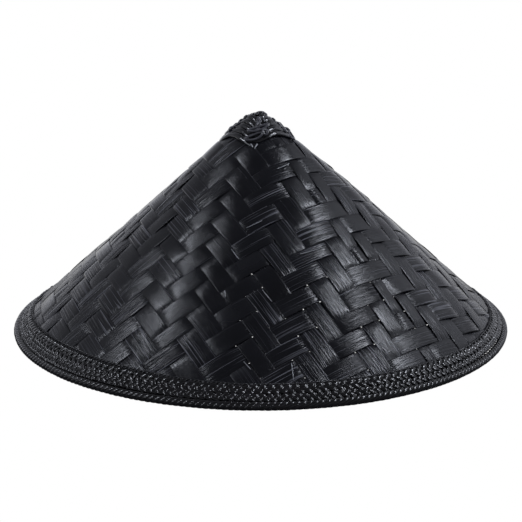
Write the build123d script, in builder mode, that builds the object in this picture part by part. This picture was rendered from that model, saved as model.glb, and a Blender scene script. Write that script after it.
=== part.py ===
from build123d import *
from math import cos, degrees, radians, sin, sqrt
import os

# Conical hat of plaited bamboo. Millimetres, +Z up, the front faces -Y.
# The origin is the centre of the plane that the brim rests on.

# Overall form. The mat is plaited flat from three of the four quarters of a square,
# so the finished cone's half angle has a sine of three quarters.
rim_radius = 200.0
quarters_used = 3

# Woven crown
mat_thickness = 1.2
tip_flat_radius = 8.0

# Rolled and wrapped brim edge
edge_roll_radius = 3.2
edge_core_radius = 1.8
edge_flat_depth = 0.35

# Hoop and braid of the brim
rim_band_width = 11.0
hoop_thickness = 1.8
braid_thickness = 1.0
seam_cord_radius = 0.9
rim_tie_count = 24
rim_tie_radius = 0.7
rim_tie_head_radius = 1.6
rim_tie_head_thickness = 0.8

# Lashing at the tip, tied down by four columns of crossed loops
column_places = ("front", "right", "back", "left")
column_turn = -6.0
lashing_length = 28.0
lashing_thickness = 0.8
lashing_turns = 6
lashing_groove_depth = 0.3
knot_width = 6.5
knot_thickness = 0.8
knob_radius = 5.5
knob_height = 2.5
knob_edge_round = 1.0

# Head band
band_inner_radius = 86.0
band_thickness = 2.0
band_height = 28.0
lap_turn = 180.0
lap_angle = 26.0
lap_top_drop = 4.0
lap_stitch_radius = 0.7
lap_stitch_spacing = 9.0
lap_stitch_heights = (5.6, 14.0, 21.0)
band_tie_count = 6
band_tie_radius = 0.8
band_tie_drop = 6.0
chin_hole_radius = 2.0
chin_hole_height = 5.0
chin_hole_spacing = 12.0

# Clearances
bearing_gap = 0.3
edge_gap = 0.3
hole_gap = 0.2

# The slope: its sine and cosine are those of the cone's half angle
slope_sine = quarters_used / 4
slope_cosine = sqrt(1 - slope_sine**2)
edge_roll_centre = (rim_radius - edge_roll_radius, edge_roll_radius - edge_flat_depth)
mat_tip_height = edge_roll_centre[1] + edge_roll_centre[0] * slope_cosine / slope_sine
roll_along = edge_roll_centre[0] / slope_sine
half_mat = mat_thickness / 2


def on_slope(along, out):
    """Radius and height of a point so far down the slope from the mat's sharp tip,
    and so far out of the mat's middle surface."""
    radius = along * slope_sine + out * slope_cosine
    height = mat_tip_height - along * slope_cosine + out * slope_sine
    return radius, height


def along_at(radius, out):
    """Distance down the slope at which a surface that far out has this radius."""
    return (radius - out * slope_cosine) / slope_sine


def height_at(radius, out):
    """Height at which a surface that far out of the mat has this radius."""
    return on_slope(along_at(radius, out), out)[1]


def slope_band(top, bottom, inside, outside):
    """The four corners of a band that lies on the slope."""
    return [on_slope(top, inside), on_slope(top, outside),
            on_slope(bottom, outside), on_slope(bottom, inside)]


def slope_plane(turn, along, out):
    """A plane tangent to the slope, its X down the slope and its normal outward.
    turn is the angle round the hat, from the front towards +X, in degrees."""
    radius, height = on_slope(along, out)
    side, front = sin(radians(turn)), -cos(radians(turn))
    return Plane(
        origin=(radius * side, radius * front, height),
        x_dir=(slope_sine * side, slope_sine * front, -slope_cosine),
        z_dir=(slope_cosine * side, slope_cosine * front, slope_sine),
    )


def radial_plane(turn, radius, height):
    """An upright plane that faces away from the hat's axis."""
    side, front = sin(radians(turn)), -cos(radians(turn))
    return Plane(
        origin=(radius * side, radius * front, height),
        x_dir=(-front, side, 0),
        z_dir=(side, front, 0),
    )


# Places down the slope and out of the mat
mat_end = roll_along - edge_roll_radius - edge_gap
rim_band_top = mat_end - rim_band_width
rim_band_middle = (mat_end + rim_band_top) / 2
hoop_top = -half_mat - bearing_gap
hoop_bottom = hoop_top - hoop_thickness
braid_bottom = half_mat + bearing_gap
braid_top = braid_bottom + braid_thickness
seam_cord_along = rim_band_top - seam_cord_radius - edge_gap
seam_cord_out = half_mat + bearing_gap + seam_cord_radius

lashing_bottom = half_mat + bearing_gap
lashing_top = lashing_bottom + lashing_thickness
knot_bottom = lashing_top + bearing_gap
lashing_start = along_at(tip_flat_radius, half_mat) + edge_gap
lashing_end = lashing_start + lashing_length
lashing_middle = (lashing_start + lashing_end) / 2
turn_pitch = lashing_length / lashing_turns
tip_flat_height = height_at(tip_flat_radius, half_mat)
tip_inner_radius = tip_flat_radius - half_mat
tip_inner_height = height_at(tip_inner_radius, -half_mat)

band_outer_radius = band_inner_radius + band_thickness
band_top = height_at(band_outer_radius, -half_mat) - edge_gap
band_bottom = band_top - band_height
lap_outer_radius = band_outer_radius + band_thickness
band_middle_radius = band_inner_radius + band_thickness / 2
band_tie_height = band_top - band_tie_drop
chin_hole_level = band_bottom + chin_hole_height
chin_hole_angle = degrees(chin_hole_spacing / band_middle_radius)
lap_stitch_angle = degrees(lap_stitch_spacing / band_middle_radius)

# Holes in the band are drilled outward from inside its bore and end clear of the lap
drill_radius = band_inner_radius - band_thickness
drill_depth = lap_outer_radius + band_thickness - drill_radius

os.makedirs("parts", exist_ok=True)


def save(builder, name):
    """Label a finished piece and write it."""
    builder.part.label = name
    export_step(builder.part, f"parts/{name}.step")


# Brim ties: short lashings through the hoop and the mat, with a flat knot below
rim_tie_plane = slope_plane(0, rim_band_middle, hoop_bottom - bearing_gap)
rim_tie_length = half_mat - hoop_bottom + bearing_gap
with BuildPart() as one_rim_tie:
    with BuildSketch(rim_tie_plane):
        Circle(rim_tie_radius)
    extrude(amount=rim_tie_length)
    with BuildSketch(rim_tie_plane):
        Circle(rim_tie_head_radius)
    extrude(amount=-rim_tie_head_thickness)

with BuildPart() as one_rim_tie_hole:
    with BuildSketch(rim_tie_plane):
        Circle(rim_tie_radius + hole_gap)
    extrude(amount=2 * rim_tie_length)

with BuildPart() as rim_ties:
    with PolarLocations(0, rim_tie_count):
        add(one_rim_tie.part)

with BuildPart() as rim_tie_holes:
    with PolarLocations(0, rim_tie_count):
        add(one_rim_tie_hole.part)

# Woven crown: a thin closed cone, blunt at the tip
with BuildPart() as woven_crown:
    with BuildSketch(Plane.XZ):
        with BuildLine():
            Polyline(
                (0, tip_flat_height),
                (tip_flat_radius, tip_flat_height),
                on_slope(mat_end, half_mat),
                on_slope(mat_end, -half_mat),
                (tip_inner_radius, tip_inner_height),
                (0, tip_inner_height),
                close=True,
            )
        make_face()
    revolve(axis=Axis.Z)
    add(rim_tie_holes.part, mode=Mode.SUBTRACT)

# Hoop below the mat that grips the cut ends of the splints
with BuildPart() as rim_hoop:
    with BuildSketch(Plane.XZ):
        with BuildLine():
            Polyline(*slope_band(rim_band_top, mat_end, hoop_bottom, hoop_top), close=True)
        make_face()
    revolve(axis=Axis.Z)
    add(rim_tie_holes.part, mode=Mode.SUBTRACT)

# Flat braid over the mat's edge
with BuildPart() as rim_braid:
    with BuildSketch(Plane.XZ):
        with BuildLine():
            Polyline(*slope_band(rim_band_top, mat_end, braid_bottom, braid_top), close=True)
        make_face()
    revolve(axis=Axis.Z)

# Thin cord along the braid's upper edge
with BuildPart() as rim_seam_cord:
    with BuildSketch(Plane.XZ):
        with Locations(on_slope(seam_cord_along, seam_cord_out)):
            Circle(seam_cord_radius)
    revolve(axis=Axis.Z)

# Round cane inside the brim's edge, and the wrapping round it, flat where it rests
with BuildPart() as rim_edge_cane:
    with BuildSketch(Plane.XZ):
        with Locations(edge_roll_centre):
            Circle(edge_core_radius)
    revolve(axis=Axis.Z)

with BuildPart() as rim_edge_wrap:
    with BuildSketch(Plane.XZ):
        with Locations(edge_roll_centre):
            Circle(edge_roll_radius)
        with Locations((edge_roll_centre[0], 0)):
            Rectangle(
                2 * edge_roll_radius, 2 * edge_roll_radius,
                align=(Align.CENTER, Align.MAX), mode=Mode.SUBTRACT,
            )
        with Locations(edge_roll_centre):
            Circle(edge_core_radius + bearing_gap, mode=Mode.SUBTRACT)
    revolve(axis=Axis.Z)

# Wound strand at the tip: one closed cone with a shallow groove between its turns
with BuildPart() as apex_lashing:
    with BuildSketch(Plane.XZ):
        with BuildLine():
            crest_and_groove = []
            for turn in range(lashing_turns):
                start = lashing_start + turn * turn_pitch
                crest_and_groove += [
                    on_slope(start, lashing_top - lashing_groove_depth),
                    on_slope(start + turn_pitch / 2, lashing_top),
                ]
            Polyline(
                on_slope(lashing_start, lashing_bottom),
                *crest_and_groove,
                on_slope(lashing_end, lashing_top - lashing_groove_depth),
                on_slope(lashing_end, lashing_bottom),
                close=True,
            )
        make_face()
    revolve(axis=Axis.Z)

# Flat knob that closes the tip
with BuildPart() as apex_knob:
    with BuildSketch(Plane.XY.offset(tip_flat_height + bearing_gap)):
        Circle(knob_radius)
    extrude(amount=knob_height)
    fillet(apex_knob.edges().group_by(Axis.Z)[-1], knob_edge_round)

# Columns of crossed loops that tie the lashing down
apex_knots = {}
for number, place in enumerate(column_places):
    turn = column_turn + number * 360 / len(column_places)
    with BuildPart() as knot:
        with BuildSketch(slope_plane(turn, lashing_middle, knot_bottom)):
            SlotOverall(lashing_length, knot_width)
        extrude(amount=knot_thickness)
    apex_knots[f"apex_knots_{place}"] = knot

# Head band stitches: two rows of short cane stitches through the overlapped ends
stitch_length = 2 * band_thickness
with BuildPart() as head_band_stitches:
    for side in (-1, 1):
        stitch_turn = lap_turn + side * lap_stitch_angle
        for stitch_height in lap_stitch_heights:
            level = band_bottom + stitch_height
            with BuildSketch(radial_plane(stitch_turn, band_inner_radius + bearing_gap, level)):
                Circle(lap_stitch_radius)
            extrude(amount=stitch_length)

with BuildPart() as head_band_stitch_holes:
    for side in (-1, 1):
        stitch_turn = lap_turn + side * lap_stitch_angle
        for stitch_height in lap_stitch_heights:
            level = band_bottom + stitch_height
            with BuildSketch(radial_plane(stitch_turn, drill_radius, level)):
                Circle(lap_stitch_radius + hole_gap)
            extrude(amount=drill_depth)

# Head band ties: cord ends that run from the band's wall out to the mat's inner face
tie_along = along_at(band_middle_radius, 0)
tie_depth = (height_at(band_middle_radius, 0) - band_tie_height) * slope_sine
tie_foot_along = tie_along + tie_depth * slope_cosine / slope_sine
tie_start = -tie_depth - 2 * band_thickness
tie_length = -half_mat - edge_gap - tie_start
with BuildPart() as one_band_tie:
    with BuildSketch(slope_plane(0, tie_foot_along, tie_start)):
        Circle(band_tie_radius)
    extrude(amount=tie_length)
    with BuildSketch(Plane.XY.offset(band_bottom)):
        Circle(band_inner_radius + bearing_gap)
    extrude(amount=band_height, mode=Mode.SUBTRACT)

with BuildPart() as one_band_tie_hole:
    with BuildSketch(slope_plane(0, tie_foot_along, tie_start)):
        Circle(band_tie_radius + hole_gap)
    extrude(amount=tie_length)

band_tie_start = 180 / band_tie_count
with BuildPart() as head_band_ties:
    with PolarLocations(0, band_tie_count, start_angle=band_tie_start):
        add(one_band_tie.part)

with BuildPart() as head_band_tie_holes:
    with PolarLocations(0, band_tie_count, start_angle=band_tie_start):
        add(one_band_tie_hole.part)

# Head band: a bent bamboo strip whose ends overlap at the back, with cord holes at the sides
with BuildPart() as head_band:
    with BuildSketch(Plane.XZ):
        with BuildLine():
            Polyline(
                (band_inner_radius, band_bottom), (band_outer_radius, band_bottom),
                (band_outer_radius, band_top), (band_inner_radius, band_top),
                close=True,
            )
        make_face()
    revolve(axis=Axis.Z)
    with BuildSketch(Plane.XZ.rotated((0, 0, lap_turn - 90 - lap_angle / 2))):
        with BuildLine():
            Polyline(
                (band_middle_radius, band_bottom), (lap_outer_radius, band_bottom),
                (lap_outer_radius, band_top - lap_top_drop), (band_middle_radius, band_top - lap_top_drop),
                close=True,
            )
        make_face()
    revolve(axis=Axis.Z, revolution_arc=lap_angle)
    for side_turn in (-90, 90):
        for hole_turn in (side_turn - chin_hole_angle / 2, side_turn + chin_hole_angle / 2):
            with BuildSketch(radial_plane(hole_turn, drill_radius, chin_hole_level)):
                Circle(chin_hole_radius)
            extrude(amount=drill_depth, mode=Mode.SUBTRACT)
    add(head_band_tie_holes.part, mode=Mode.SUBTRACT)
    add(head_band_stitch_holes.part, mode=Mode.SUBTRACT)

pieces = {
    "woven_crown": woven_crown,
    "rim_hoop": rim_hoop,
    "rim_braid": rim_braid,
    "rim_seam_cord": rim_seam_cord,
    "rim_edge_cane": rim_edge_cane,
    "rim_edge_wrap": rim_edge_wrap,
    "rim_ties": rim_ties,
    "apex_lashing": apex_lashing,
    "apex_knob": apex_knob,
    **apex_knots,
    "head_band": head_band,
    "head_band_stitches": head_band_stitches,
    "head_band_ties": head_band_ties,
}
for name, builder in pieces.items():
    save(builder, name)
    print(name, len(builder.part.solids()), round(builder.part.volume, 1))
print("head band from", round(band_bottom, 3), "to", round(band_top, 3))
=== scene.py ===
"""A conical hat of plaited bamboo, lacquered black: woven splints, a plaited brim edge and a lashed tip."""

import math
import random

import bpy
import numpy as np
from mathutils import Matrix, Vector


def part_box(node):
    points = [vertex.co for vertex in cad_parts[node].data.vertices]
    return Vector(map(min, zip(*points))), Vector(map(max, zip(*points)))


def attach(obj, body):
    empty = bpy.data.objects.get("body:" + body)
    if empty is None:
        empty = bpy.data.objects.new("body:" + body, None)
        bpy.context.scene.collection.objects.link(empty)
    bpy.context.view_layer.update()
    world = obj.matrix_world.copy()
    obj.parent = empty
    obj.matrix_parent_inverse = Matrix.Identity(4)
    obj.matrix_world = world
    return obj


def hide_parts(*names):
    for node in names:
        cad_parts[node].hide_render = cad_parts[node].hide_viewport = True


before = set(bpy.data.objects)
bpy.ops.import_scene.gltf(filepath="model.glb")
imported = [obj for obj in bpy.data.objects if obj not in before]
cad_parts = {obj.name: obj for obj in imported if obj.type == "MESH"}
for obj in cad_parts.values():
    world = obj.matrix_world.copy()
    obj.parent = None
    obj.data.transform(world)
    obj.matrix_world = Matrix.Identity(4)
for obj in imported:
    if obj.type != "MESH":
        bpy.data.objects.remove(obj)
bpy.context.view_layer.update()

# Lengths are in millimetres until a mesh is written, angles in radians unless a name says degrees.
# A turn is the angle round the hat, from the front towards +X. along is the distance down the slope from
# the sharp tip that the cone would have, and out is the distance out of the middle of the mat.
MM = 0.001
rng = random.Random(54)

# ---------------------------------------------------------------- the cone, read from the CAD crown
crown_low, crown_high = (np.array(corner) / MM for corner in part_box("woven_crown"))
rim_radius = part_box("rim_edge_wrap")[1][0] / MM
knob_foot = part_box("apex_knob")[0][2] / MM

SLOPE_SINE = 0.75                        # three quarters of a flat square, rolled into a cone
SLOPE_COSINE = math.sqrt(1 - SLOPE_SINE**2)
HALF_MAT = 0.6
mat_end = (crown_high[0] - HALF_MAT * SLOPE_COSINE) / SLOPE_SINE
tip_height = crown_low[2] + mat_end * SLOPE_COSINE + HALF_MAT * SLOPE_SINE
tip_flat = crown_high[2] - HALF_MAT
BLUNT = 1.2                              # how softly the slope rounds into the flat of the tip
TIP_SUNK_TURN = math.radians(100)        # near the tip the mat has sunk here and swelled opposite
TIP_SUNK_SPREAD = 1.9                    # how far round the sinking fades out
TIP_SINK = 1.7
TIP_SWELL = 0.9
TIP_SHAPED_TO = 30                       # how far down the slope both hold in full
TIP_SHAPE_FADE = 75                      # and the length over which they fade out

NOISE_OCTAVES = (1.0, 2.1, 4.3)
NOISE_HEIGHT = 1.7                       # about what the octaves add up to


def smooth_step(x):
    """0 below 0, 1 above 1, and a soft rise between."""
    x = np.clip(x, 0, 1)
    return x * x * (3 - 2 * x)


def cone(along, turn, out):
    """Points in metres: so far down the slope from the sharp tip, round the hat, and out of the mat."""
    along, turn, out = np.broadcast_arrays(along, turn, out)
    sunk = 1 - smooth_step(turn_from(turn, TIP_SUNK_TURN) / TIP_SUNK_SPREAD)
    near_tip = 1 - smooth_step((along - TIP_SHAPED_TO) / TIP_SHAPE_FADE)
    out = out + near_tip * (TIP_SWELL - (TIP_SWELL + TIP_SINK) * sunk)
    radius = along * SLOPE_SINE + out * SLOPE_COSINE
    height = tip_height - along * SLOPE_COSINE
    height = tip_flat - BLUNT * np.log1p(np.exp((tip_flat - height) / BLUNT)) + out * SLOPE_SINE
    return np.stack([radius * np.sin(turn), -radius * np.cos(turn), height], -1) * MM


def cone_normal(turn):
    """The outward normal of the slope."""
    turn = np.asarray(turn, float)
    return np.stack([SLOPE_COSINE * np.sin(turn), -SLOPE_COSINE * np.cos(turn),
                     np.full(turn.shape, SLOPE_SINE)], -1)


def turn_from(turn, place):
    """How far round the hat a turn lies from a place, the short way."""
    return np.abs((turn - place + np.pi) % (2 * np.pi) - np.pi)


def slow_noise(x, seed, wavelength):
    """A smooth random line between about -1 and 1."""
    waves = random.Random(seed)
    total = np.zeros_like(np.asarray(x, float))
    for octave in NOISE_OCTAVES:
        total += np.sin(2 * np.pi * octave * x / wavelength + waves.uniform(0, 2 * np.pi)) / octave
    return total / NOISE_HEIGHT


def waver(x, seed, amount):
    """The unevenness of hand work along x. amount gives its size and its wavelength."""
    size, wavelength = amount
    return size * slow_noise(x, seed, wavelength)


# ---------------------------------------------------------------- meshes
UV_PER_METRE = 100                       # UV maps are in centimetres
MM_PER_UV = 10
UV_SHIFT = 50                            # how far the grain of one strand is moved from the next, at most
FLAT_POINTS = 9                          # points across the face of a flat strand
EDGE_THINNING = 0.75                     # how much thinner its edges are


def make_mesh(name, points, faces, uv, values=None):
    """A smooth-shaded mesh with a UV map in centimetres and named numbers on its points."""
    mesh = bpy.data.meshes.new(name)
    mesh.from_pydata([tuple(p) for p in points], [], faces)
    layer = mesh.uv_layers.new(name="UVMap")
    corner_points = np.empty(len(mesh.loops), int)
    mesh.loops.foreach_get("vertex_index", corner_points)
    layer.data.foreach_set("uv", np.asarray(uv, float)[corner_points].ravel())
    for key, numbers in (values or {}).items():
        mesh.attributes.new(key, "FLOAT", "POINT").data.foreach_set("value", np.asarray(numbers, float))
    mesh.polygons.foreach_set("use_smooth", [True] * len(mesh.polygons))
    mesh.update()
    piece = bpy.data.objects.new(name, mesh)
    bpy.context.scene.collection.objects.link(piece)
    return piece


def tube_faces(rings, ring_size, closed):
    """Faces of a tube of rings, its ends capped unless it closes on itself."""
    faces = []
    for ring in range(rings if closed else rings - 1):
        here, there = ring * ring_size, (ring + 1) % rings * ring_size
        for corner in range(ring_size):
            nxt = (corner + 1) % ring_size
            faces.append((here + corner, here + nxt, there + nxt, there + corner))
    if not closed:
        faces.append(tuple(reversed(range(ring_size))))
        faces.append(tuple(range((rings - 1) * ring_size, rings * ring_size)))
    return faces


def sweep(name, centres, outward, section, closed=False, swell=1.0, twist=0.0):
    """A strand: a section of (sideways, outward) points in mm, carried along centres given in metres."""
    centres = np.asarray(centres, float)
    if closed:
        tangent = np.roll(centres, -1, 0) - np.roll(centres, 1, 0)
    else:
        tangent = np.gradient(centres, axis=0)
    tangent /= np.linalg.norm(tangent, axis=1)[:, None]
    side = np.cross(outward, tangent)
    side /= np.linalg.norm(side, axis=1)[:, None]
    lift = np.cross(tangent, side)
    section = np.asarray(section, float) * MM
    scale = np.broadcast_to(swell, len(centres))[:, None, None]
    angle = np.broadcast_to(twist, len(centres))[:, None]
    side, lift = side * np.cos(angle) + lift * np.sin(angle), lift * np.cos(angle) - side * np.sin(angle)
    ring = side[:, None] * section[None, :, :1] + lift[:, None] * section[None, :, 1:]
    points = centres[:, None] + ring * scale
    steps = np.linalg.norm(np.diff(centres, axis=0), axis=1)
    length = np.concatenate([[0], np.cumsum(steps)])
    around = np.linspace(0, 1, len(section), endpoint=False)
    girth = 2 * np.ptp(section[:, 0])
    uv = np.stack(np.broadcast_arrays(around[None] * girth, length[:, None]), -1) * UV_PER_METRE
    uv[..., 0] += rng.uniform(0, UV_SHIFT)
    return make_mesh(name, points.reshape(-1, 3), tube_faces(len(centres), len(section), closed),
                     uv.reshape(-1, 2))


def flat_section(width, thickness, grooves=2, depth=0.08):
    """The section of a split strand: a flat lens with a few shallow grooves along its face."""
    across = np.linspace(-1, 1, FLAT_POINTS)
    crown = (1 - EDGE_THINNING * across**4) * thickness / 2
    ridge = depth * np.cos(across * np.pi * grooves) * (1 - across**2)
    top = np.stack([across * width / 2, crown + ridge], -1)
    bottom = np.stack([across[::-2] * width / 2, -crown[::-2]], -1)
    return np.concatenate([top, bottom[1:-1]])


def round_section(width, thickness, corners=10):
    """The section of a round or oval strand."""
    angle = np.linspace(0, 2 * np.pi, corners, endpoint=False)
    return np.stack([np.cos(angle) * width / 2, np.sin(angle) * thickness / 2], -1)


# ---------------------------------------------------------------- the woven crown
FAMILIES = 3
FIRST_FOLD_TURN = math.radians(43.5)     # the three folds of the mat lie a third of a circle apart
SPLINT_THICKNESS = 0.42
SPLINT_GAP = 0.56
GAP_SHARE = (0.3, 0.7)                   # the share of a gap that comes off one of its two splints
FIRST_EDGE = 0.4
END_CUT = 0.6                            # how far inside the mat's end the splints are cut off
POINTS_ACROSS = 25
ROW_LENGTH = 1.9
WEAVE_DEPTH = 0.46                       # how far a splint's middle lies above or below the mat's
BEND_LENGTH = 4.6                        # where a splint dives under its neighbour
OPEN_CROSSING = 20                       # the crossing that is counted past the last splint

# A float is the stretch of a splint between two dives
FLOAT_CROWN = (0.34, 0.40, 0.26)         # how much further its middle springs up, by family
LOOSE_CROWN = (0.50, 0.20, 0.10)         # and how much more than that on the right, where the mat is loose
FLOAT_SPRING = (0.5, 1.4)                # how many times as much one float may take
SPRING_SHAPE = 0.8                       # below 1 its back is flat, above 1 it is peaked
FLOAT_TILT = (-0.5, 0.5)                 # how far one edge stands above its middle
UNDER_TILT = 0.3                         # and the share of that where it passes under
SPLINT_FIBRE = (0, 0.65)                 # how fibrous a splint is, from 0 for smooth to 1 for split
FLOAT_FIBRE = (-0.45, 0.45)              # and how far one float of it differs

# Across a splint: its face is bowed, its edges are rounded and its fibres stand up in grooves
FACE_BOW = 0.16
EDGE_ROUNDING = 0.12
GROOVE_DEPTH = 0.22
GROOVE_COUNTS = (4.3, 6.9, 9.7)
FIBRE_CONTRAST = 1.3
FIBRE_WAVER = (0.25, 60)
WIDTH_WAVER = (0.018, 130)               # a share of its width
SIDE_WAVER = (0.22, 160)                 # how far it runs off its line
GROOVE_DRIFT = 120                       # the length over which a groove moves from side to side
EDGE_SHARPNESS = 12                      # how close to its edge the lacquer is rubbed and the painted edge highlight lies
GRAIN_SHIFT = 3.7                        # how far the grain of one splint is moved from the next

# At the lower front the weave gapes, so that light shows through, and on the right it has worked loose
CLOSED_UP = 0.9                          # how much of a gap the splints close where the weave is tight
GAPE_TURN = 0.42
GAPE_REACH = 0.72                        # how far round from there the gaping ends
GAPE_FADE = 0.3
GAPE_FROM = 125                          # how far down the slope it starts
GAPE_LENGTH = 30
LOOSE_TURN = 1.5
LOOSE_REACH = 1.3
LOOSE_FADE = 0.6

# The braid and the lashing press the mat flat, and the lashing squeezes it in
PRESSED = 0.8                            # the share of a splint's shape that they flatten
BRAID_PRESS = 15                         # how far inside the mat's end this starts
BRAID_PRESS_FADE = 6
TIP_PRESS = 40                           # how far down the slope the tip is pressed
TIP_PRESS_FADE = 10
UNDER_LASHING = 0.9
UNDER_LASHING_TO = 43
UNDER_LASHING_FADE = 9

# Patches of the outer face: turn, its spread, distance down the slope, its spread
RIGHT_FRONT = (0.36, 0.32, 115, 60)
SMOOTH_FRONT = (-0.25, 0.36, 140, 90)
LOWER_FROM = 175
LOWER_FADE = 40
LOWER_SMOOTH_TURN = -0.1
LOWER_SMOOTH_SPREAD = 0.35
LOWER_FIBRE = (0.35, 0.1, 0.6)           # how much more fibrous each patch is, by family
RIGHT_FRONT_FIBRE = (0.8, 0.1, 0.2)
SMOOTH_FRONT_FIBRE = 0.55                # and how much less

splint_end = mat_end - END_CUT

# Where each splint ends and the next begins, out from the tip, as the splints were split by hand
EDGE_WIDTHS = {
    0: (11.0, 14.6, 14.6, 14.4, 14.2, 15.2, 15.0, 14.4, 15.6,
        12.8, 14.6, 15.9, 16.5, 13.8, 15.4, 15.3, 14.9),
    1: (12.6, 14.9, 15.6, 14.2, 15.1, 14.6, 15.3, 14.4, 15.2,
        14.7, 15.5, 14.1, 15.0, 14.9, 15.2, 14.6, 14.8),
    2: (11.2, 15.3, 16.4, 16.9, 14.0, 15.7, 14.0, 13.7, 13.2,
        16.0, 15.0, 14.6, 15.4, 16.2, 14.4, 14.9, 14.7),
}
edges = {family: np.concatenate([[0], np.cumsum(widths)]) for family, widths in EDGE_WIDTHS.items()}
splint_count = len(EDGE_WIDTHS[0])


def on_top(family, number, crossing, side):
    """Whether a splint passes over the crossing splint, in a twill of two over and two under."""
    if side > 0:
        return (crossing - number) % 4 in (0, 1)
    return (number - crossing) % 4 in (2, 3)


def weave_height(family, number, across_fold, own):
    """Along a splint: its place over or under, its floats' spring, their tilt, and how fibrous it is."""
    spans = []
    for side, other in ((-1, (family - 1) % FAMILIES), (1, (family + 1) % FAMILIES)):
        for crossing in range(splint_count + 1):
            low = edges[other][crossing]
            high = edges[other][crossing + 1] if crossing < splint_count else low + OPEN_CROSSING
            state = 1 if on_top(family, number, crossing, side) else -1
            spans.append((low, high, state) if side > 0 else (-high, -low, state))
    spans.sort()
    floats = []
    for low, high, state in spans:
        if floats and floats[-1][2] == state:
            floats[-1][1] = high
        else:
            floats.append([low, high, state])
    height, spring_up, tilt, fibrous = np.zeros((4,) + across_fold.shape)
    usual = own.uniform(*SPLINT_FIBRE)
    for low, high, state in floats:
        inside = (across_fold >= low) & (across_fold < high)
        place = across_fold[inside]
        nearest = np.minimum(place - low, high - place)
        level = 2 * smooth_step(0.5 + nearest / BEND_LENGTH / 2) - 1
        spring = np.sin(np.pi * np.clip((place - low) / (high - low), 0, 1)) ** SPRING_SHAPE
        crown = own.uniform(*FLOAT_SPRING) if state > 0 else 0.0
        height[inside] = state * WEAVE_DEPTH * level
        spring_up[inside] = crown * spring
        tilt[inside] = own.uniform(*FLOAT_TILT) * spring * (1.0 if state > 0 else UNDER_TILT)
        fibrous[inside] = usual + own.uniform(*FLOAT_FIBRE)
    return height, spring_up, tilt, fibrous


def patch(along, turn, place):
    """A soft patch of the slope: 1 in its middle, fading with its spreads."""
    middle_turn, turn_spread, middle_along, along_spread = place
    round_the_hat = turn_from(turn, middle_turn) / turn_spread
    return np.exp(-round_the_hat ** 2 - ((along - middle_along) / along_spread) ** 2)


def worn_fibre(family, along, turn):
    """How much more fibrous the outer face has worn, and the front where it has stayed smooth."""
    lower = (smooth_step((along - LOWER_FROM) / LOWER_FADE)
             * smooth_step(turn_from(turn, LOWER_SMOOTH_TURN) / LOWER_SMOOTH_SPREAD))
    return (LOWER_FIBRE[family] * lower + RIGHT_FRONT_FIBRE[family] * patch(along, turn, RIGHT_FRONT)
            - SMOOTH_FRONT_FIBRE * patch(along, turn, SMOOTH_FRONT))


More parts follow.
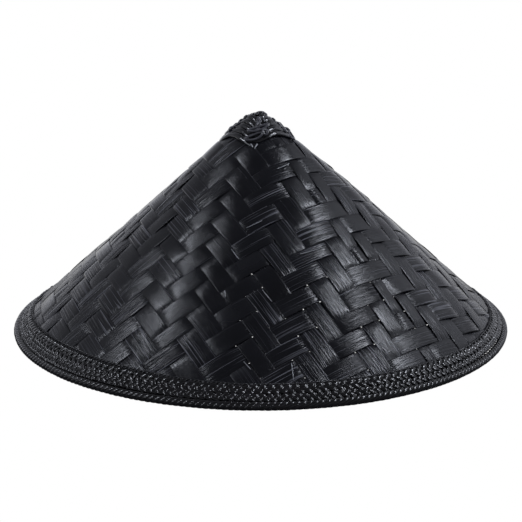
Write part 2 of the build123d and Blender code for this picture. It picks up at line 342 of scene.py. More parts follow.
def make_splint(family, number):
    """One splint: a thin split strip, woven over and under, cut off where the brim's braid covers it."""
    seed = family * 100 + number
    own = random.Random(seed)
    inner = edges[family][number] + (FIRST_EDGE if number == 0 else own.uniform(*GAP_SHARE) * SPLINT_GAP)
    outer = edges[family][number + 1] - own.uniform(*GAP_SHARE) * SPLINT_GAP
    middle, width = (inner + outer) / 2, outer - inner
    reach = math.sqrt(splint_end**2 - middle**2)
    rows = int(2 * reach / ROW_LENGTH)
    row = np.linspace(-1, 1, rows)[:, None]
    column = np.linspace(-1, 1, POINTS_ACROSS)[None, :]
    radial = middle + column * width / 2
    across_fold = row * np.sqrt(np.maximum(splint_end**2 - radial**2, 1))
    uneven_width = 1 + waver(across_fold, seed + 5, WIDTH_WAVER)
    radial = middle + column * width / 2 * uneven_width
    radial = radial + waver(across_fold + 3 * radial, family, SIDE_WAVER)
    height, spring_up, tilt, fibre = weave_height(family, number, across_fold, own)
    family_turn = FIRST_FOLD_TURN + family * 2 * math.pi / FAMILIES
    along = np.hypot(radial, across_fold)
    turn = family_turn + np.arctan2(across_fold, radial) / SLOPE_SINE
    gaping = (smooth_step((GAPE_REACH - turn_from(turn, GAPE_TURN)) / GAPE_FADE)
              * smooth_step((along - GAPE_FROM) / GAPE_LENGTH))
    radial = radial + column * (1 - gaping) * CLOSED_UP * SPLINT_GAP
    along = np.hypot(radial, across_fold)
    turn = family_turn + np.arctan2(across_fold, radial) / SLOPE_SINE
    loose = smooth_step((LOOSE_REACH - turn_from(turn, LOOSE_TURN)) / LOOSE_FADE)
    height = height + spring_up * (FLOAT_CROWN[family] + LOOSE_CROWN[family] * loose)
    fibre = np.clip(fibre + worn_fibre(family, along, turn), 0, 1) ** FIBRE_CONTRAST
    fibre = fibre * (1 - FIBRE_WAVER[0] + waver(across_fold, seed + 7, FIBRE_WAVER))
    under_braid = smooth_step((along - mat_end + BRAID_PRESS) / BRAID_PRESS_FADE)
    pressed = 1 - PRESSED * under_braid - PRESSED * smooth_step((TIP_PRESS - along) / TIP_PRESS_FADE)
    phases = [own.uniform(0, 6) for _ in GROOVE_COUNTS]
    drift = slow_noise(across_fold, seed + 9, GROOVE_DRIFT)
    groove = sum(np.cos(np.pi * count * column + phase + drift)
                 for count, phase in zip(GROOVE_COUNTS, phases)) / len(GROOVE_COUNTS)
    face = -FACE_BOW * column**2 - EDGE_ROUNDING * column**8
    out = (height + face + tilt * column + GROOVE_DEPTH * groove * fibre) * pressed
    out = out - UNDER_LASHING * smooth_step((UNDER_LASHING_TO - along) / UNDER_LASHING_FADE)
    top = cone(along, turn, out + SPLINT_THICKNESS / 2)
    bottom = cone(along, turn, out - SPLINT_THICKNESS / 2)
    rings = np.concatenate([top, bottom[:, ::-1]], 1)
    flat_uv = np.stack([column * width / 2 + 0 * across_fold, across_fold], -1) / MM_PER_UV
    flat_uv[..., 0] += seed * GRAIN_SHIFT
    uv = np.concatenate([flat_uv, flat_uv[:, ::-1]], 1)
    # Near its edges a splint is painted paler: a painted edge highlight, with some rubbed lacquer
    edge = np.abs(column) ** EDGE_SHARPNESS + 0 * across_fold
    values = {
        "fibre": np.concatenate([fibre, fibre[:, ::-1]], 1),
        "edge": np.concatenate([edge, edge], 1),
        "inside": np.concatenate([0 * fibre, 0 * fibre + 1], 1),
    }
    return make_mesh(f"splint_{'abc'[family]}_{number + 1:02d}", rings.reshape(-1, 3),
                     tube_faces(rows, 2 * POINTS_ACROSS, False), uv.reshape(-1, 2),
                     {key: value.ravel() for key, value in values.items()})


splints = [make_splint(family, number) for family in range(FAMILIES) for number in range(splint_count)]

# ---------------------------------------------------------------- the brim
BRAID_STRANDS = 3
BRAID_DEPTH = 0.4
BRAID_OUT = 1.5
POINTS_PER_REPEAT = 26
OVER_SNAP = 2.4                          # how sharply a strand changes from over to under
STRAND_SWELL = (0.13, 7.3)
STRAND_TWIST = (0.12, 5.9)
UPPER_REPEATS = 70
UPPER_MIDDLE = mat_end - 8.2
UPPER_SEED = 12
UPPER_WIDER = 5.0                        # how much wider it runs at the front left
LOWER_REPEATS = 82
LOWER_MIDDLE = mat_end - 2.3
LOWER_SEED = 22
LOWER_WIDER = 2.0

BRIM_WIDE_TURN = math.radians(-48)       # where the brim's braids run wider
BRIM_WIDE_SPREAD = 0.9
BRIM_WANDER = (0.4, 314)                 # how far they wander down the slope, and the wavelength
BRIM_WAVER = (0.18, 27)
BRIM_RISE = (0.2, 17)                    # how far they rise and fall


def plait(name, length, repeats, strands, swing, depth, section, place, closed, samples):
    """A flat plait: each strand swings from edge to edge, over on its way in and under on its way out."""
    made = []
    for strand in range(strands):
        run = np.linspace(0, length, samples, endpoint=not closed)
        phase = 2 * np.pi * (repeats * run / length + strand / strands)
        over = np.tanh(OVER_SNAP * np.sin(2 * phase))
        centres, outward = place(run, swing * np.cos(phase), -depth * over)
        travel = phase * 1.9 + 40 * strand
        swell = 1 + waver(travel, strands, STRAND_SWELL)
        twist = waver(travel, strands + 1, STRAND_TWIST)
        made.append(sweep(f"{name}_{strand + 1}", centres, outward, section, closed, swell, twist))
    return made


def brim_place(middle, out_level, seed, wider_left):
    """Places on a braid round the brim, which wanders a little and runs wider at the front left."""
    def place(turn, sideways, out):
        length = turn * rim_radius
        broad = wider_left * (1 - smooth_step(turn_from(turn, BRIM_WIDE_TURN) / BRIM_WIDE_SPREAD))
        wander = waver(length, seed, BRIM_WANDER) + waver(length, seed + 1, BRIM_WAVER)
        rise = waver(length, seed + 2, BRIM_RISE)
        along = middle + wander - broad * 0.5 + sideways * (1 + broad * 0.12)
        return cone(along, turn, out_level + out + rise), cone_normal(turn)
    return place


def make_braid(name, repeats, swing, section, place):
    """A plait that closes on itself round the brim."""
    return plait(name, 2 * math.pi, repeats, BRAID_STRANDS, swing, BRAID_DEPTH, section, place, True,
                 repeats * POINTS_PER_REPEAT)


upper_braid = make_braid("brim_braid_upper", UPPER_REPEATS, 2.3, flat_section(3.4, 1.1, 1, 0.12),
                         brim_place(UPPER_MIDDLE, BRAID_OUT, UPPER_SEED, UPPER_WIDER))
lower_braid = make_braid("brim_braid_lower", LOWER_REPEATS, 1.75, flat_section(2.9, 1.1, 1, 0.12),
                         brim_place(LOWER_MIDDLE, BRAID_OUT, LOWER_SEED, LOWER_WIDER))

# The rolled edge: four plies laid round each other like a rope, over the CAD edge cane
ROLL_PLIES = 4
ROLL_OUTER = 3.1
ROLL_LAY = 17.0                          # the length in which a ply goes once round the cane
PLY_WIDTH = 3.3
PLY_THICKNESS = 2.1
POINTS_PER_LAY = 24
PLY_WAVER = (0.1, 23)
ROLL_SEED = 41
roll_centre_radius = rim_radius - 3.2
roll_centre_height = 3.15
roll_lays = round(2 * math.pi * roll_centre_radius / ROLL_LAY)


def make_roll_ply(ply):
    """One ply of the rolled edge."""
    turn = np.linspace(0, 2 * np.pi, roll_lays * POINTS_PER_LAY, endpoint=False)
    lay = turn * roll_lays + 2 * np.pi * ply / ROLL_PLIES
    uneven = waver(turn * rim_radius, ROLL_SEED + ply, PLY_WAVER)
    reach = ROLL_OUTER - PLY_THICKNESS / 2 + uneven
    radial = roll_centre_radius + reach * np.cos(lay)
    height = roll_centre_height + reach * np.sin(lay)
    centres = np.stack([radial * np.sin(turn), -radial * np.cos(turn), height], -1) * MM
    outward = np.stack([np.cos(lay) * np.sin(turn), -np.cos(lay) * np.cos(turn), np.sin(lay)], -1)
    return sweep(f"brim_edge_ply_{ply + 1}", centres, outward, round_section(PLY_WIDTH, PLY_THICKNESS, 12),
                 True)


edge_plies = [make_roll_ply(ply) for ply in range(ROLL_PLIES)]

# The seam cord: two thin plies along the upper braid's edge, which they follow
SEAM_MIDDLE = mat_end - 12.4
SEAM_WIDER = 9.0
SEAM_OUT = 1.25
SEAM_PLIES = 2
SEAM_LAYS = 190
SEAM_POINTS_PER_LAY = 12
SEAM_HALF_WIDTH = 0.42
SEAM_HALF_HEIGHT = 0.38


def make_seam_ply(ply):
    """One ply of the seam cord."""
    turn = np.linspace(0, 2 * np.pi, SEAM_LAYS * SEAM_POINTS_PER_LAY, endpoint=False)
    lay = turn * SEAM_LAYS + math.pi * ply
    place = brim_place(SEAM_MIDDLE, SEAM_OUT, UPPER_SEED, SEAM_WIDER)
    middle, _ = place(turn, SEAM_HALF_WIDTH * np.cos(lay), SEAM_HALF_HEIGHT * np.sin(lay))
    return sweep(f"brim_seam_ply_{ply + 1}", middle, cone_normal(turn), round_section(0.85, 0.75, 8), True)


seam_plies = [make_seam_ply(ply) for ply in range(SEAM_PLIES)]

# ---------------------------------------------------------------- the tip
# The lashing is wound down from the knob, and between two columns of knots each turn arches up the slope
COLUMN_PLACES = ("front", "right", "back", "left")
FIRST_COLUMN_TURN = math.radians(-6.0)
LEFT_COLUMN_TURN = FIRST_COLUMN_TURN - math.pi / 2
LASHING_TURNS = 5
LASHING_START = 9.0
LASHING_END = 39.5
LASHING_OUT = 0.35                       # how far out its middle lies where the knots hold it down
POINTS_PER_TURN = 120
ARCH_SHAPE = 1.2                         # above 1 the arch is peaked
ARCH_RISE = 0.22                         # how far up the slope it goes, as a share of the distance down it
ARCH_RISE_LEFT = 0.04                    # and how much more of that on the left
ARCH_OUT = 0.7
START_SUNK = 0.9                         # how much deeper the first turn lies than the last
LEFT_SAG = 1.6                           # how far the last turn has slipped down on the left, halved
LASHING_WAVER = (0.45, 61)
LASHING_SWELL = (0.1, 40)


def make_lashing():
    """The strand wound round the tip, pulled down and in at each column of loops."""
    progress = np.linspace(0, 1, LASHING_TURNS * POINTS_PER_TURN)
    turn = FIRST_COLUMN_TURN + progress * LASHING_TURNS * 2 * np.pi
    along = LASHING_START + (LASHING_END - LASHING_START) * progress
    between = ((turn - FIRST_COLUMN_TURN) * len(COLUMN_PLACES) / (2 * np.pi)) % 1.0
    arch = np.sin(np.pi * between) ** ARCH_SHAPE
    uneven = waver(along * turn, 5, LASHING_WAVER)
    sag = LEFT_SAG * (1 + np.cos(turn - LEFT_COLUMN_TURN)) * progress
    rise = (ARCH_RISE - ARCH_RISE_LEFT * np.sin(turn)) * arch
    out = LASHING_OUT + ARCH_OUT * arch - START_SUNK * (1 - progress)
    centres = cone(along * (1 - rise) + sag + uneven, turn, out)
    return sweep("apex_lashing_strand", centres, cone_normal(turn), round_section(4.7, 2.2, 14),
                 swell=1 + waver(along * turn, 9, LASHING_SWELL))


# Each column of knots: a short plait of two strands down the lashing, and three loops over it
COLUMN_START = LASHING_START + 1.0
COLUMN_LENGTH = 16.0
COLUMN_REPEATS = 1.5
COLUMN_STRANDS = 2
COLUMN_SWING = 1.3
COLUMN_DEPTH = 0.4
COLUMN_POINTS = 150
COLUMN_OUT = 1.0
COLUMN_LIFT = 0.5                        # how much further out its foot lies
LOOP_POINTS = 72
LOOP_RISE = 0.45                         # how far a loop's ends stand above its sides
FRONT_LOOPS_OUT = 3.0
OTHER_LOOPS_OUT = 1.6
# Loops: distance down the slope, offset to the right, width, height, lean in degrees, how much further out
KNOT_LOOPS = (
    (24.6, 0.9, 15.0, 3.2, 28, 0),
    (33.2, -1.9, 13.2, 4.6, 30, 0),
    (28.6, 5.4, 3.2, 5.0, 0, 0.6),
)


def column_place(middle_turn):
    """Places on one column of loops, run being the distance down from its top."""
    def place(run, sideways, out):
        along = COLUMN_START + run
        spread = 0.5 + run / 26
        turn = middle_turn + sideways * spread / np.maximum(along * SLOPE_SINE, 5)
        return cone(along, turn, COLUMN_OUT + COLUMN_LIFT * run / COLUMN_LENGTH + out), cone_normal(turn)
    return place


def make_loop(name, middle_turn, along, offset, wide, tall, lean_degrees, out):
    """One loop of the tying strand, lying flat over a column."""
    angle = np.linspace(0, 2 * np.pi, LOOP_POINTS, endpoint=False)
    lean = math.radians(lean_degrees)
    across, down = np.cos(angle) * wide / 2, np.sin(angle) * tall / 2
    sideways = offset + across * math.cos(lean) + down * math.sin(lean)
    distance = along - across * math.sin(lean) + down * math.cos(lean)
    turn = middle_turn + sideways / (along * SLOPE_SINE)
    centres = cone(distance, turn, out + LOOP_RISE * np.cos(angle * 2))
    return sweep(name, centres, cone_normal(turn), round_section(1.9, 1.9, 12), True)


lashing = make_lashing()
knot_columns = {}
for number, place_name in enumerate(COLUMN_PLACES):
    middle_turn = FIRST_COLUMN_TURN + number * 2 * math.pi / len(COLUMN_PLACES)
    loops_out = FRONT_LOOPS_OUT if place_name == "front" else OTHER_LOOPS_OUT
    strands = plait(f"apex_knot_{place_name}", COLUMN_LENGTH, COLUMN_REPEATS, COLUMN_STRANDS, COLUMN_SWING,
                    COLUMN_DEPTH, round_section(2.2, 1.5, 10), column_place(middle_turn), False,
                    COLUMN_POINTS)
    loops = [make_loop(f"apex_loop_{place_name}_{loop + 1}", middle_turn, *facts, loops_out + further_out)
             for loop, (*facts, further_out) in enumerate(KNOT_LOOPS)]
    knot_columns[place_name] = strands + loops

KNOB_WINDINGS = 3.4
KNOB_RADIUS = 4.6
KNOB_WOUND_IN = 3.4                      # how much nearer the axis its inner end lies
KNOB_RISE = 1.5
KNOB_FOOT_GAP = 0.1


def make_knob():
    """The strand's coiled end, tucked down into a small flat knob."""
    progress = np.linspace(0, 1, 420)
    turn = progress * KNOB_WINDINGS * 2 * np.pi
    radius = KNOB_RADIUS - KNOB_WOUND_IN * progress
    height = knob_foot + KNOB_FOOT_GAP + KNOB_RISE * smooth_step(progress * 1.3)
    centres = np.stack([radius * np.sin(turn), -radius * np.cos(turn), height], -1) * MM
    outward = np.stack([0.5 * np.sin(turn), -0.5 * np.cos(turn), 0.87 + 0 * turn], -1)
    return sweep("apex_knob_coil", centres, outward, flat_section(2.6, 1.7, 1, 0.1))


knob = make_knob()

CUT_END_OUT = 1.2
CUT_END_SPRING = 0.9                     # how far its middle has sprung up
FIBRE_OUT = 1.35
FIBRE_LIFT = 0.4                         # how far its lower end is lifted


def make_cut_end(number, turn_degrees, length, lean):
    """A pale cut end of the lashing strand, sprung away from the slope. lean is in mm to the right."""
    progress = np.linspace(0, 1, 14)
    turn = math.radians(turn_degrees) + lean * progress / 30
    out = CUT_END_OUT + CUT_END_SPRING * np.sin(np.pi * progress * 0.8)
    centres = cone(LASHING_END - 0.5 + length * progress, turn, out)
    return sweep(f"cut_strand_end_{number}", centres, cone_normal(turn), flat_section(1.3, 0.5, 1, 0.05),
                 swell=1 - 0.4 * progress)


cut_ends = [make_cut_end(1, -14.0, 3.8, 2.0), make_cut_end(2, -4.5, 5.0, -1.5)]

# Lifted fibres: how far down the slope, the turn in degrees, the length, and the lean from straight down
LIFTED_FIBRES = (
    (141, -10, 11, 38), (176, 2, 12, 32), (237, 7, 13, 0), (232, -3, 8, 40), (61, 22, 12, 110),
    (140, 20, 16, 100), (114, -3, 13, 120), (175, -11, 6, 15), (15, 13, 4, 0),
)


def make_fibre(number, along, turn_degrees, length, lean_degrees):
    """A fibre split off a splint, held in its middle, with its lower end lifted."""
    progress = np.linspace(-0.5, 0.5, 12)
    lean = math.radians(lean_degrees)
    turn = math.radians(turn_degrees) + length * progress * math.sin(lean) / (along * SLOPE_SINE)
    out = FIBRE_OUT + FIBRE_LIFT * (0.5 + progress) ** 2
    centres = cone(along + length * progress * math.cos(lean), turn, out)
    return sweep(f"lifted_fibre_{number}", centres, cone_normal(turn), flat_section(0.5, 0.24, 1, 0.02),
                 swell=1.15 - 1.6 * np.abs(progress) ** 2)


fibres = [make_fibre(number + 1, *facts) for number, facts in enumerate(LIFTED_FIBRES)]


# ---------------------------------------------------------------- materials
MM_PER_METRE = 1000
LACQUER_IOR = 1.5


def srgb(code):
    """A hex colour as the linear numbers that a shader takes."""
    channels = [int(code[i:i + 2], 16) / 255 for i in (1, 3, 5)]
    return tuple(c / 12.92 if c <= 0.04045 else ((c + 0.055) / 1.055) ** 2.4 for c in channels) + (1.0,)


def node(tree, kind, settings=None, **links):
    """Adds a node. settings go to its own fields or to its sockets; links join sockets to other nodes."""
    made = tree.nodes.new(kind)
    for key, value in (settings or {}).items():
        if isinstance(key, str) and hasattr(made, key):
            setattr(made, key, value)
        else:
            made.inputs[key].default_value = value
    for key, source in links.items():
        name = int(key[1:]) if key[0] == "i" and key[1:].isdigit() else key.replace("_", " ")
        tree.links.new(source, made.inputs[name])
    return made


def new_material(name):
    """An empty material and its node tree."""
    material = bpy.data.materials.new(name)
    material.use_nodes = True
    material.node_tree.nodes.clear()
    return material, material.node_tree


def finish_material(tree, settings, **links):
    """Adds the surface shader and sends it out."""
    shader = node(tree, "ShaderNodeBsdfPrincipled", settings, **links)
    node(tree, "ShaderNodeOutputMaterial", None, Surface=shader.outputs[0])


def fibre_noise(tree, across_mm, along_mm, detail=3.0, distortion=0.0):
    """Noise drawn out along the grain. The UV map is in centimetres, so a scale is 10 over a size in mm."""
    place = node(tree, "ShaderNodeTexCoord")
    stretched = node(tree, "ShaderNodeMapping", {"Scale": (MM_PER_UV / across_mm, MM_PER_UV / along_mm, 1)},
                     Vector=place.outputs["UV"])
    grain = node(tree, "ShaderNodeTexNoise", {"Scale": 1.0, "Detail": detail, "Distortion": distortion},
                 Vector=stretched.outputs[0])
    return grain.outputs["Fac"]


def lacquered_split_bamboo():
    """Black oil lacquer brushed over split bamboo: a soft gloss, with the grain showing through."""
    material, tree = new_material("lacquered_split_bamboo")
    fibre = node(tree, "ShaderNodeAttribute", {"attribute_name": "fibre"}).outputs["Fac"]
    edge = node(tree, "ShaderNodeAttribute", {"attribute_name": "edge"}).outputs["Fac"]
    inside = node(tree, "ShaderNodeAttribute", {"attribute_name": "inside"}).outputs["Fac"]
    coarse = fibre_noise(tree, 1.05, 70, 1.0)    # bundles of fibres
    fine = fibre_noise(tree, 0.45, 18)           # single fibres
    cloud = fibre_noise(tree, 26, 34, 2.0)       # how thickly the lacquer lies
    # Fibre ridges painted pale grey: worn lacquer, and partly a painted highlight where they would glint
    ridge = node(tree, "ShaderNodeMapRange", {"From Min": 0.58, "From Max": 0.65, "To Max": 1.0},
                 Value=coarse)
    bare_and_glinting_ridge = node(tree, "ShaderNodeMath", {"operation": "MULTIPLY"}, i0=ridge.outputs[0], i1=fibre)
    rubbed_and_glint = node(tree, "ShaderNodeMath", {"operation": "MULTIPLY", 1: 0.75}, i0=bare_and_glinting_ridge.outputs[0])
    # Edges painted paler too: a painted highlight of the rounded edge, with some rubbed lacquer
    edge_wear_and_highlight = node(tree, "ShaderNodeMath", {"operation": "MULTIPLY", 1: 0.3}, i0=edge)
    worn_and_lit_edge = node(tree, "ShaderNodeMath", {"operation": "MULTIPLY"}, i0=edge_wear_and_highlight.outputs[0],
                     i1=ridge.outputs[0])
    wear_and_glint = node(tree, "ShaderNodeMath", {"operation": "ADD", "use_clamp": True},
                i0=rubbed_and_glint.outputs[0], i1=worn_and_lit_edge.outputs[0])
    painted = node(tree, "ShaderNodeMix", {"data_type": "RGBA", 6: srgb("#0d0d11"), 7: srgb("#1a1b21")},
                   i0=cloud)
    # Pale grey for worn fibres and for the painted highlight on ridges and edges
    outside = node(tree, "ShaderNodeMix", {"data_type": "RGBA", 7: srgb("#9899a1")},
                   i0=wear_and_glint.outputs[0], i6=painted.outputs[2])
    both = node(tree, "ShaderNodeMix", {"data_type": "RGBA", 7: srgb("#241d17")},
                i0=inside, i6=outside.outputs[2])
    rough = node(tree, "ShaderNodeMapRange",
                 {"From Min": 0.3, "From Max": 0.7, "To Min": 0.16, "To Max": 0.3}, Value=cloud)
    groove = node(tree, "ShaderNodeMath", {"operation": "MULTIPLY"}, i0=coarse, i1=fibre)
    relief = node(tree, "ShaderNodeMath", {"operation": "MULTIPLY_ADD", 1: 0.12}, i0=fine,
                  i2=groove.outputs[0])
    bump = node(tree, "ShaderNodeBump", {"Strength": 0.9, "Distance": 0.0012}, Height=relief.outputs[0])
    finish_material(tree, {"IOR": LACQUER_IOR}, Base_Color=both.outputs[2], Roughness=rough.outputs[0],
                    Normal=bump.outputs[0])
    return material


def lacquered_cane(name, base, rubbed_and_glint, across_mm, roughness):
    """Black lacquered cane, duller than the splints: rubbed grey and a painted highlight along its fibres.
    """
    material, tree = new_material(name)
    coarse = fibre_noise(tree, across_mm, 14)
    fine = fibre_noise(tree, across_mm / 3, 5)
    # The grey along the fibres is partly rubbed lacquer and partly a painted highlight
    ridge = node(tree, "ShaderNodeMapRange", {"From Min": 0.52, "From Max": 0.74, "To Max": 0.7},
                 Value=coarse)
    colour = node(tree, "ShaderNodeMix", {"data_type": "RGBA", 6: srgb(base), 7: srgb(rubbed_and_glint)},
                  i0=ridge.outputs[0])
    rough = node(tree, "ShaderNodeMapRange", {"To Min": roughness - 0.08, "To Max": roughness + 0.08},
                 Value=fine)
    relief = node(tree, "ShaderNodeMath", {"operation": "MULTIPLY_ADD", 1: 0.3}, i0=fine, i2=coarse)
    bump = node(tree, "ShaderNodeBump", {"Strength": 0.4, "Distance": 0.0003}, Height=relief.outputs[0])
    finish_material(tree, {"IOR": LACQUER_IOR, "Coat Weight": 0.7, "Coat Roughness": 0.1},
                    Base_Color=colour.outputs[2], Roughness=rough.outputs[0], Normal=bump.outputs[0])
    return material


def solid_grain(tree, across_mm, along_mm):
    """Grain for the CAD pieces, which carry no UV map: long across the hat's axis, short along it."""
    place = node(tree, "ShaderNodeTexCoord")
    along_scale = MM_PER_METRE / along_mm
    stretched = node(tree, "ShaderNodeMapping",
                     {"Scale": (along_scale, along_scale, MM_PER_METRE / across_mm)},
                     Vector=place.outputs["Object"])
    grain = node(tree, "ShaderNodeTexNoise", {"Scale": 1.0, "Detail": 4.0}, Vector=stretched.outputs[0])
    return grain.outputs["Fac"]


def bare_wood(name, light, dark, roughness):
    """Unpainted bamboo or cane: straw yellow going brown with age, with dark fibre ends."""
    material, tree = new_material(name)
    grain = solid_grain(tree, 0.9, 30)
    colour = node(tree, "ShaderNodeMix", {"data_type": "RGBA", 6: srgb(dark), 7: srgb(light)}, i0=grain)
    bump = node(tree, "ShaderNodeBump", {"Strength": 0.4, "Distance": 0.0003}, Height=grain)
    rough = node(tree, "ShaderNodeMapRange", {"To Min": roughness - 0.1, "To Max": roughness + 0.1},
                 Value=grain)
    finish_material(tree, {"IOR": LACQUER_IOR}, Base_Color=colour.outputs[2], Roughness=rough.outputs[0],
                    Normal=bump.outputs[0])
    return material


splint_finish = lacquered_split_bamboo()
braid_finish = lacquered_cane("lacquered_braid_cane", "#0b0b0d", "#37373b", 1.1, 0.15)
strand_finish = lacquered_cane("lacquered_lashing_cane", "#151519", "#4c4c52", 0.9, 0.18)
# The loops are lashing cane painted a much lighter grey: a painted highlight that picks them out
loop_finish = lacquered_cane("highlighted_loop_cane", "#55555b", "#a0a0a6", 0.9, 0.3)
cord_finish = lacquered_cane("blackened_cord", "#1a1a1d", "#55555a", 0.5, 0.4)
# Cut ends and lifted fibres: pale cane, their bluish white partly a painted glint
pale_finish = lacquered_cane("pale_fibre_and_glint", "#a9abb0", "#eceef2", 0.6, 0.4)
hoop_finish = bare_wood("blackened_bamboo_hoop", "#2a241f", "#15120f", 0.55)
bamboo_finish = bare_wood("bare_bamboo", "#b89664", "#7d5c34", 0.48)
cane_finish = bare_wood("bare_cane", "#c7a878", "#8a6a3e", 0.5)


# ---------------------------------------------------------------- what each piece is
def dress(piece, finish, slot, *nodes):
    """Gives a piece its finish, hangs it on the root body and hides the CAD nodes it replaces; slot is not
    used.
    """
    piece.data.materials.clear()
    piece.data.materials.append(finish)
    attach(piece, "root")
    if nodes:
        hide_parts(*nodes)


for piece in splints:
    dress(piece, splint_finish, "black_bamboo_splint", "woven_crown")
for piece in upper_braid + lower_braid:
    dress(piece, braid_finish, "black_cane_braid", "rim_braid")
for piece in edge_plies:
    dress(piece, braid_finish, "black_cane_braid", "rim_edge_wrap")
for piece in seam_plies:
    dress(piece, cord_finish, "black_cord", "rim_seam_cord")
dress(lashing, strand_finish, "black_cane_strand", "apex_lashing")
dress(knob, strand_finish, "black_cane_strand", "apex_knob")
for place_name, pieces in knot_columns.items():
    for piece in pieces:
        dress(piece, loop_finish, "black_cane_strand", f"apex_knots_{place_name}")
for piece in cut_ends + fibres:
    dress(piece, pale_finish, "bare_cane")

CAD_FINISHES = {
    "rim_hoop": hoop_finish, "rim_edge_cane": cane_finish, "rim_ties": cord_finish,
    "head_band": bamboo_finish, "head_band_stitches": cane_finish, "head_band_ties": cord_finish,
}
for name, finish in CAD_FINISHES.items():
    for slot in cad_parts[name].material_slots:
        slot.material = finish

# ---------------------------------------------------------------- floor, light and camera
FLOOR_SIZE = 12.0
floor_mesh = bpy.data.meshes.new("floor")
half = FLOOR_SIZE / 2
floor_mesh.from_pydata([(-half, -half, 0), (half, -half, 0), (half, half, 0), (-half, half, 0)], [],
                       [(0, 1, 2, 3)])
floor = bpy.data.objects.new("floor", floor_mesh)
bpy.context.scene.collection.objects.link(floor)
# The table top glows: white to the camera, and on its far side in glossy reflections; other light finds a
# grey matt
floor_finish, tree = new_material("glowing_white_table")
path = node(tree, "ShaderNodeLightPath")
matt = node(tree, "ShaderNodeBsdfDiffuse", {"Color": srgb("#6c6c6e")})
lit = node(tree, "ShaderNodeEmission", {"Color": (1, 1, 1, 1), "Strength": 1.0})
table_point = node(tree, "ShaderNodeTexCoord")
table_axes = node(tree, "ShaderNodeSeparateXYZ", None, Vector=table_point.outputs["Object"])
far_side = node(tree, "ShaderNodeMapRange", {"From Min": 0.1, "From Max": 0.5, "To Max": 0.85},
                Value=table_axes.outputs["Y"])
mirrored = node(tree, "ShaderNodeMath", {"operation": "MULTIPLY"}, i0=path.outputs["Is Glossy Ray"],
                i1=far_side.outputs[0])
shown = node(tree, "ShaderNodeMath", {"operation": "MAXIMUM"}, i0=path.outputs["Is Camera Ray"],
             i1=mirrored.outputs[0])
table_top = node(tree, "ShaderNodeMixShader", None, i0=shown.outputs[0], i1=matt.outputs[0],
                 i2=lit.outputs[0])
node(tree, "ShaderNodeOutputMaterial", None, Surface=table_top.outputs[0])
floor_mesh.materials.append(floor_finish)

# A white room: bright low down behind the hat, dim overhead and in front
world = bpy.data.worlds.new("white_studio")
world.use_nodes = True
bpy.context.scene.world = world
world_tree = world.node_tree
world_tree.nodes.clear()
direction = node(world_tree, "ShaderNodeTexCoord")
axes = node(world_tree, "ShaderNodeSeparateXYZ", None, Vector=direction.outputs["Generated"])
overhead = node(world_tree, "ShaderNodeMapRange",
                {"interpolation_type": "SMOOTHSTEP", "From Min": 0.2, "From Max": 0.95,
                 "To Min": 0.31, "To Max": 0.14}, Value=axes.outputs["Z"])
behind = node(world_tree, "ShaderNodeMapRange",
              {"interpolation_type": "SMOOTHSTEP", "From Min": -0.5, "From Max": 0.7,
               "To Min": 0.6, "To Max": 1.0}, Value=axes.outputs["Y"])
dim = node(world_tree, "ShaderNodeMath", {"operation": "MULTIPLY"}, i0=overhead.outputs[0],
           i1=behind.outputs[0])
low = node(world_tree, "ShaderNodeMapRange",
           {"interpolation_type": "SMOOTHSTEP", "From Min": -0.03, "From Max": 0.22,
            "To Min": 0.75, "To Max": 0.0}, Value=axes.outputs["Z"])
behind_hat = node(world_tree, "ShaderNodeMapRange",
                  {"interpolation_type": "SMOOTHSTEP", "From Min": 0.2, "From Max": 0.8},
                  Value=axes.outputs["Y"])
backdrop = node(world_tree, "ShaderNodeMath", {"operation": "MULTIPLY"}, i0=low.outputs[0],
                i1=behind_hat.outputs[0])
room = node(world_tree, "ShaderNodeMath", {"operation": "ADD"}, i0=dim.outputs[0], i1=backdrop.outputs[0])
sky_path = node(world_tree, "ShaderNodeLightPath")
seen = node(world_tree, "ShaderNodeBackground", {"Color": (1, 1, 1, 1), "Strength": 1.0})
lighting = node(world_tree, "ShaderNodeBackground", {"Color": (0.88, 0.9, 1, 1)}, Strength=room.outputs[0])
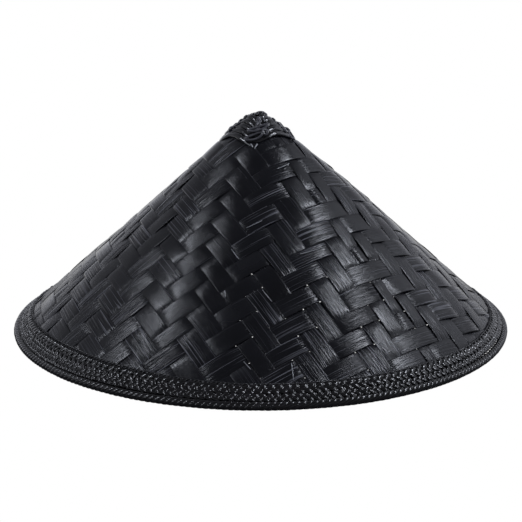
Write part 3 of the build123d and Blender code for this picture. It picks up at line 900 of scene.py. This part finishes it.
mixed = node(world_tree, "ShaderNodeMixShader", None, i0=sky_path.outputs["Is Camera Ray"],
             i1=lighting.outputs[0], i2=seen.outputs[0])
node(world_tree, "ShaderNodeOutputWorld", None, Surface=mixed.outputs[0])


HAT_MIDDLE = Vector((0, 0, 0.08))
LIGHT_COLOUR = (0.86, 0.9, 1.0)
# Soft boxes, all aimed at the middle of the hat: name, place and size in metres, watts
SOFT_BOXES = (
    ("box_right", (1.5, 0.75, 1.15), (1.1, 1.0), 1.6),
    ("box_left", (-1.4, 0.3, 1.3), (0.8, 0.8), 0.2),
    ("box_front_right", (2.05, -0.75, 1.25), (0.6, 0.6), 7),
    ("box_front_left", (-1.95, -0.85, 1.2), (0.6, 0.6), 4),
    ("glint_right", (0.95, -0.06, 1.26), (0.3, 0.3), 5.0),
    ("glint_left", (-0.93, -0.1, 1.27), (0.24, 0.24), 2.6),
)


def soft_box(name, place, size, watts):
    """A rectangular area light."""
    data = bpy.data.lights.new(name, "AREA")
    data.shape = "RECTANGLE"
    data.size, data.size_y = size
    data.energy = watts
    data.color = LIGHT_COLOUR
    lamp = bpy.data.objects.new(name, data)
    bpy.context.scene.collection.objects.link(lamp)
    lamp.location = place
    lamp.rotation_euler = (HAT_MIDDLE - Vector(place)).to_track_quat("-Z", "Y").to_euler()


for facts in SOFT_BOXES:
    soft_box(*facts)

CAMERA_DISTANCE = 1.0
CAMERA_RISE = math.radians(15.2)
CAMERA_ROLL = math.radians(-0.03)
AIM = Vector((0.0003, 0, 0.0506))
camera_data = bpy.data.cameras.new("camera")
camera_data.sensor_width = 36.0
camera_data.lens = 84.6
camera = bpy.data.objects.new("camera", camera_data)
bpy.context.scene.collection.objects.link(camera)
back = Vector((0, -math.cos(CAMERA_RISE), math.sin(CAMERA_RISE)))
facing = (-back).to_track_quat("-Z", "Y").to_matrix().to_4x4()
camera.matrix_world = (Matrix.Translation(AIM + back * CAMERA_DISTANCE) @ facing
                       @ Matrix.Rotation(CAMERA_ROLL, 4, "Z"))
bpy.context.scene.camera = camera
bpy.context.scene.view_settings.view_transform = "Standard"
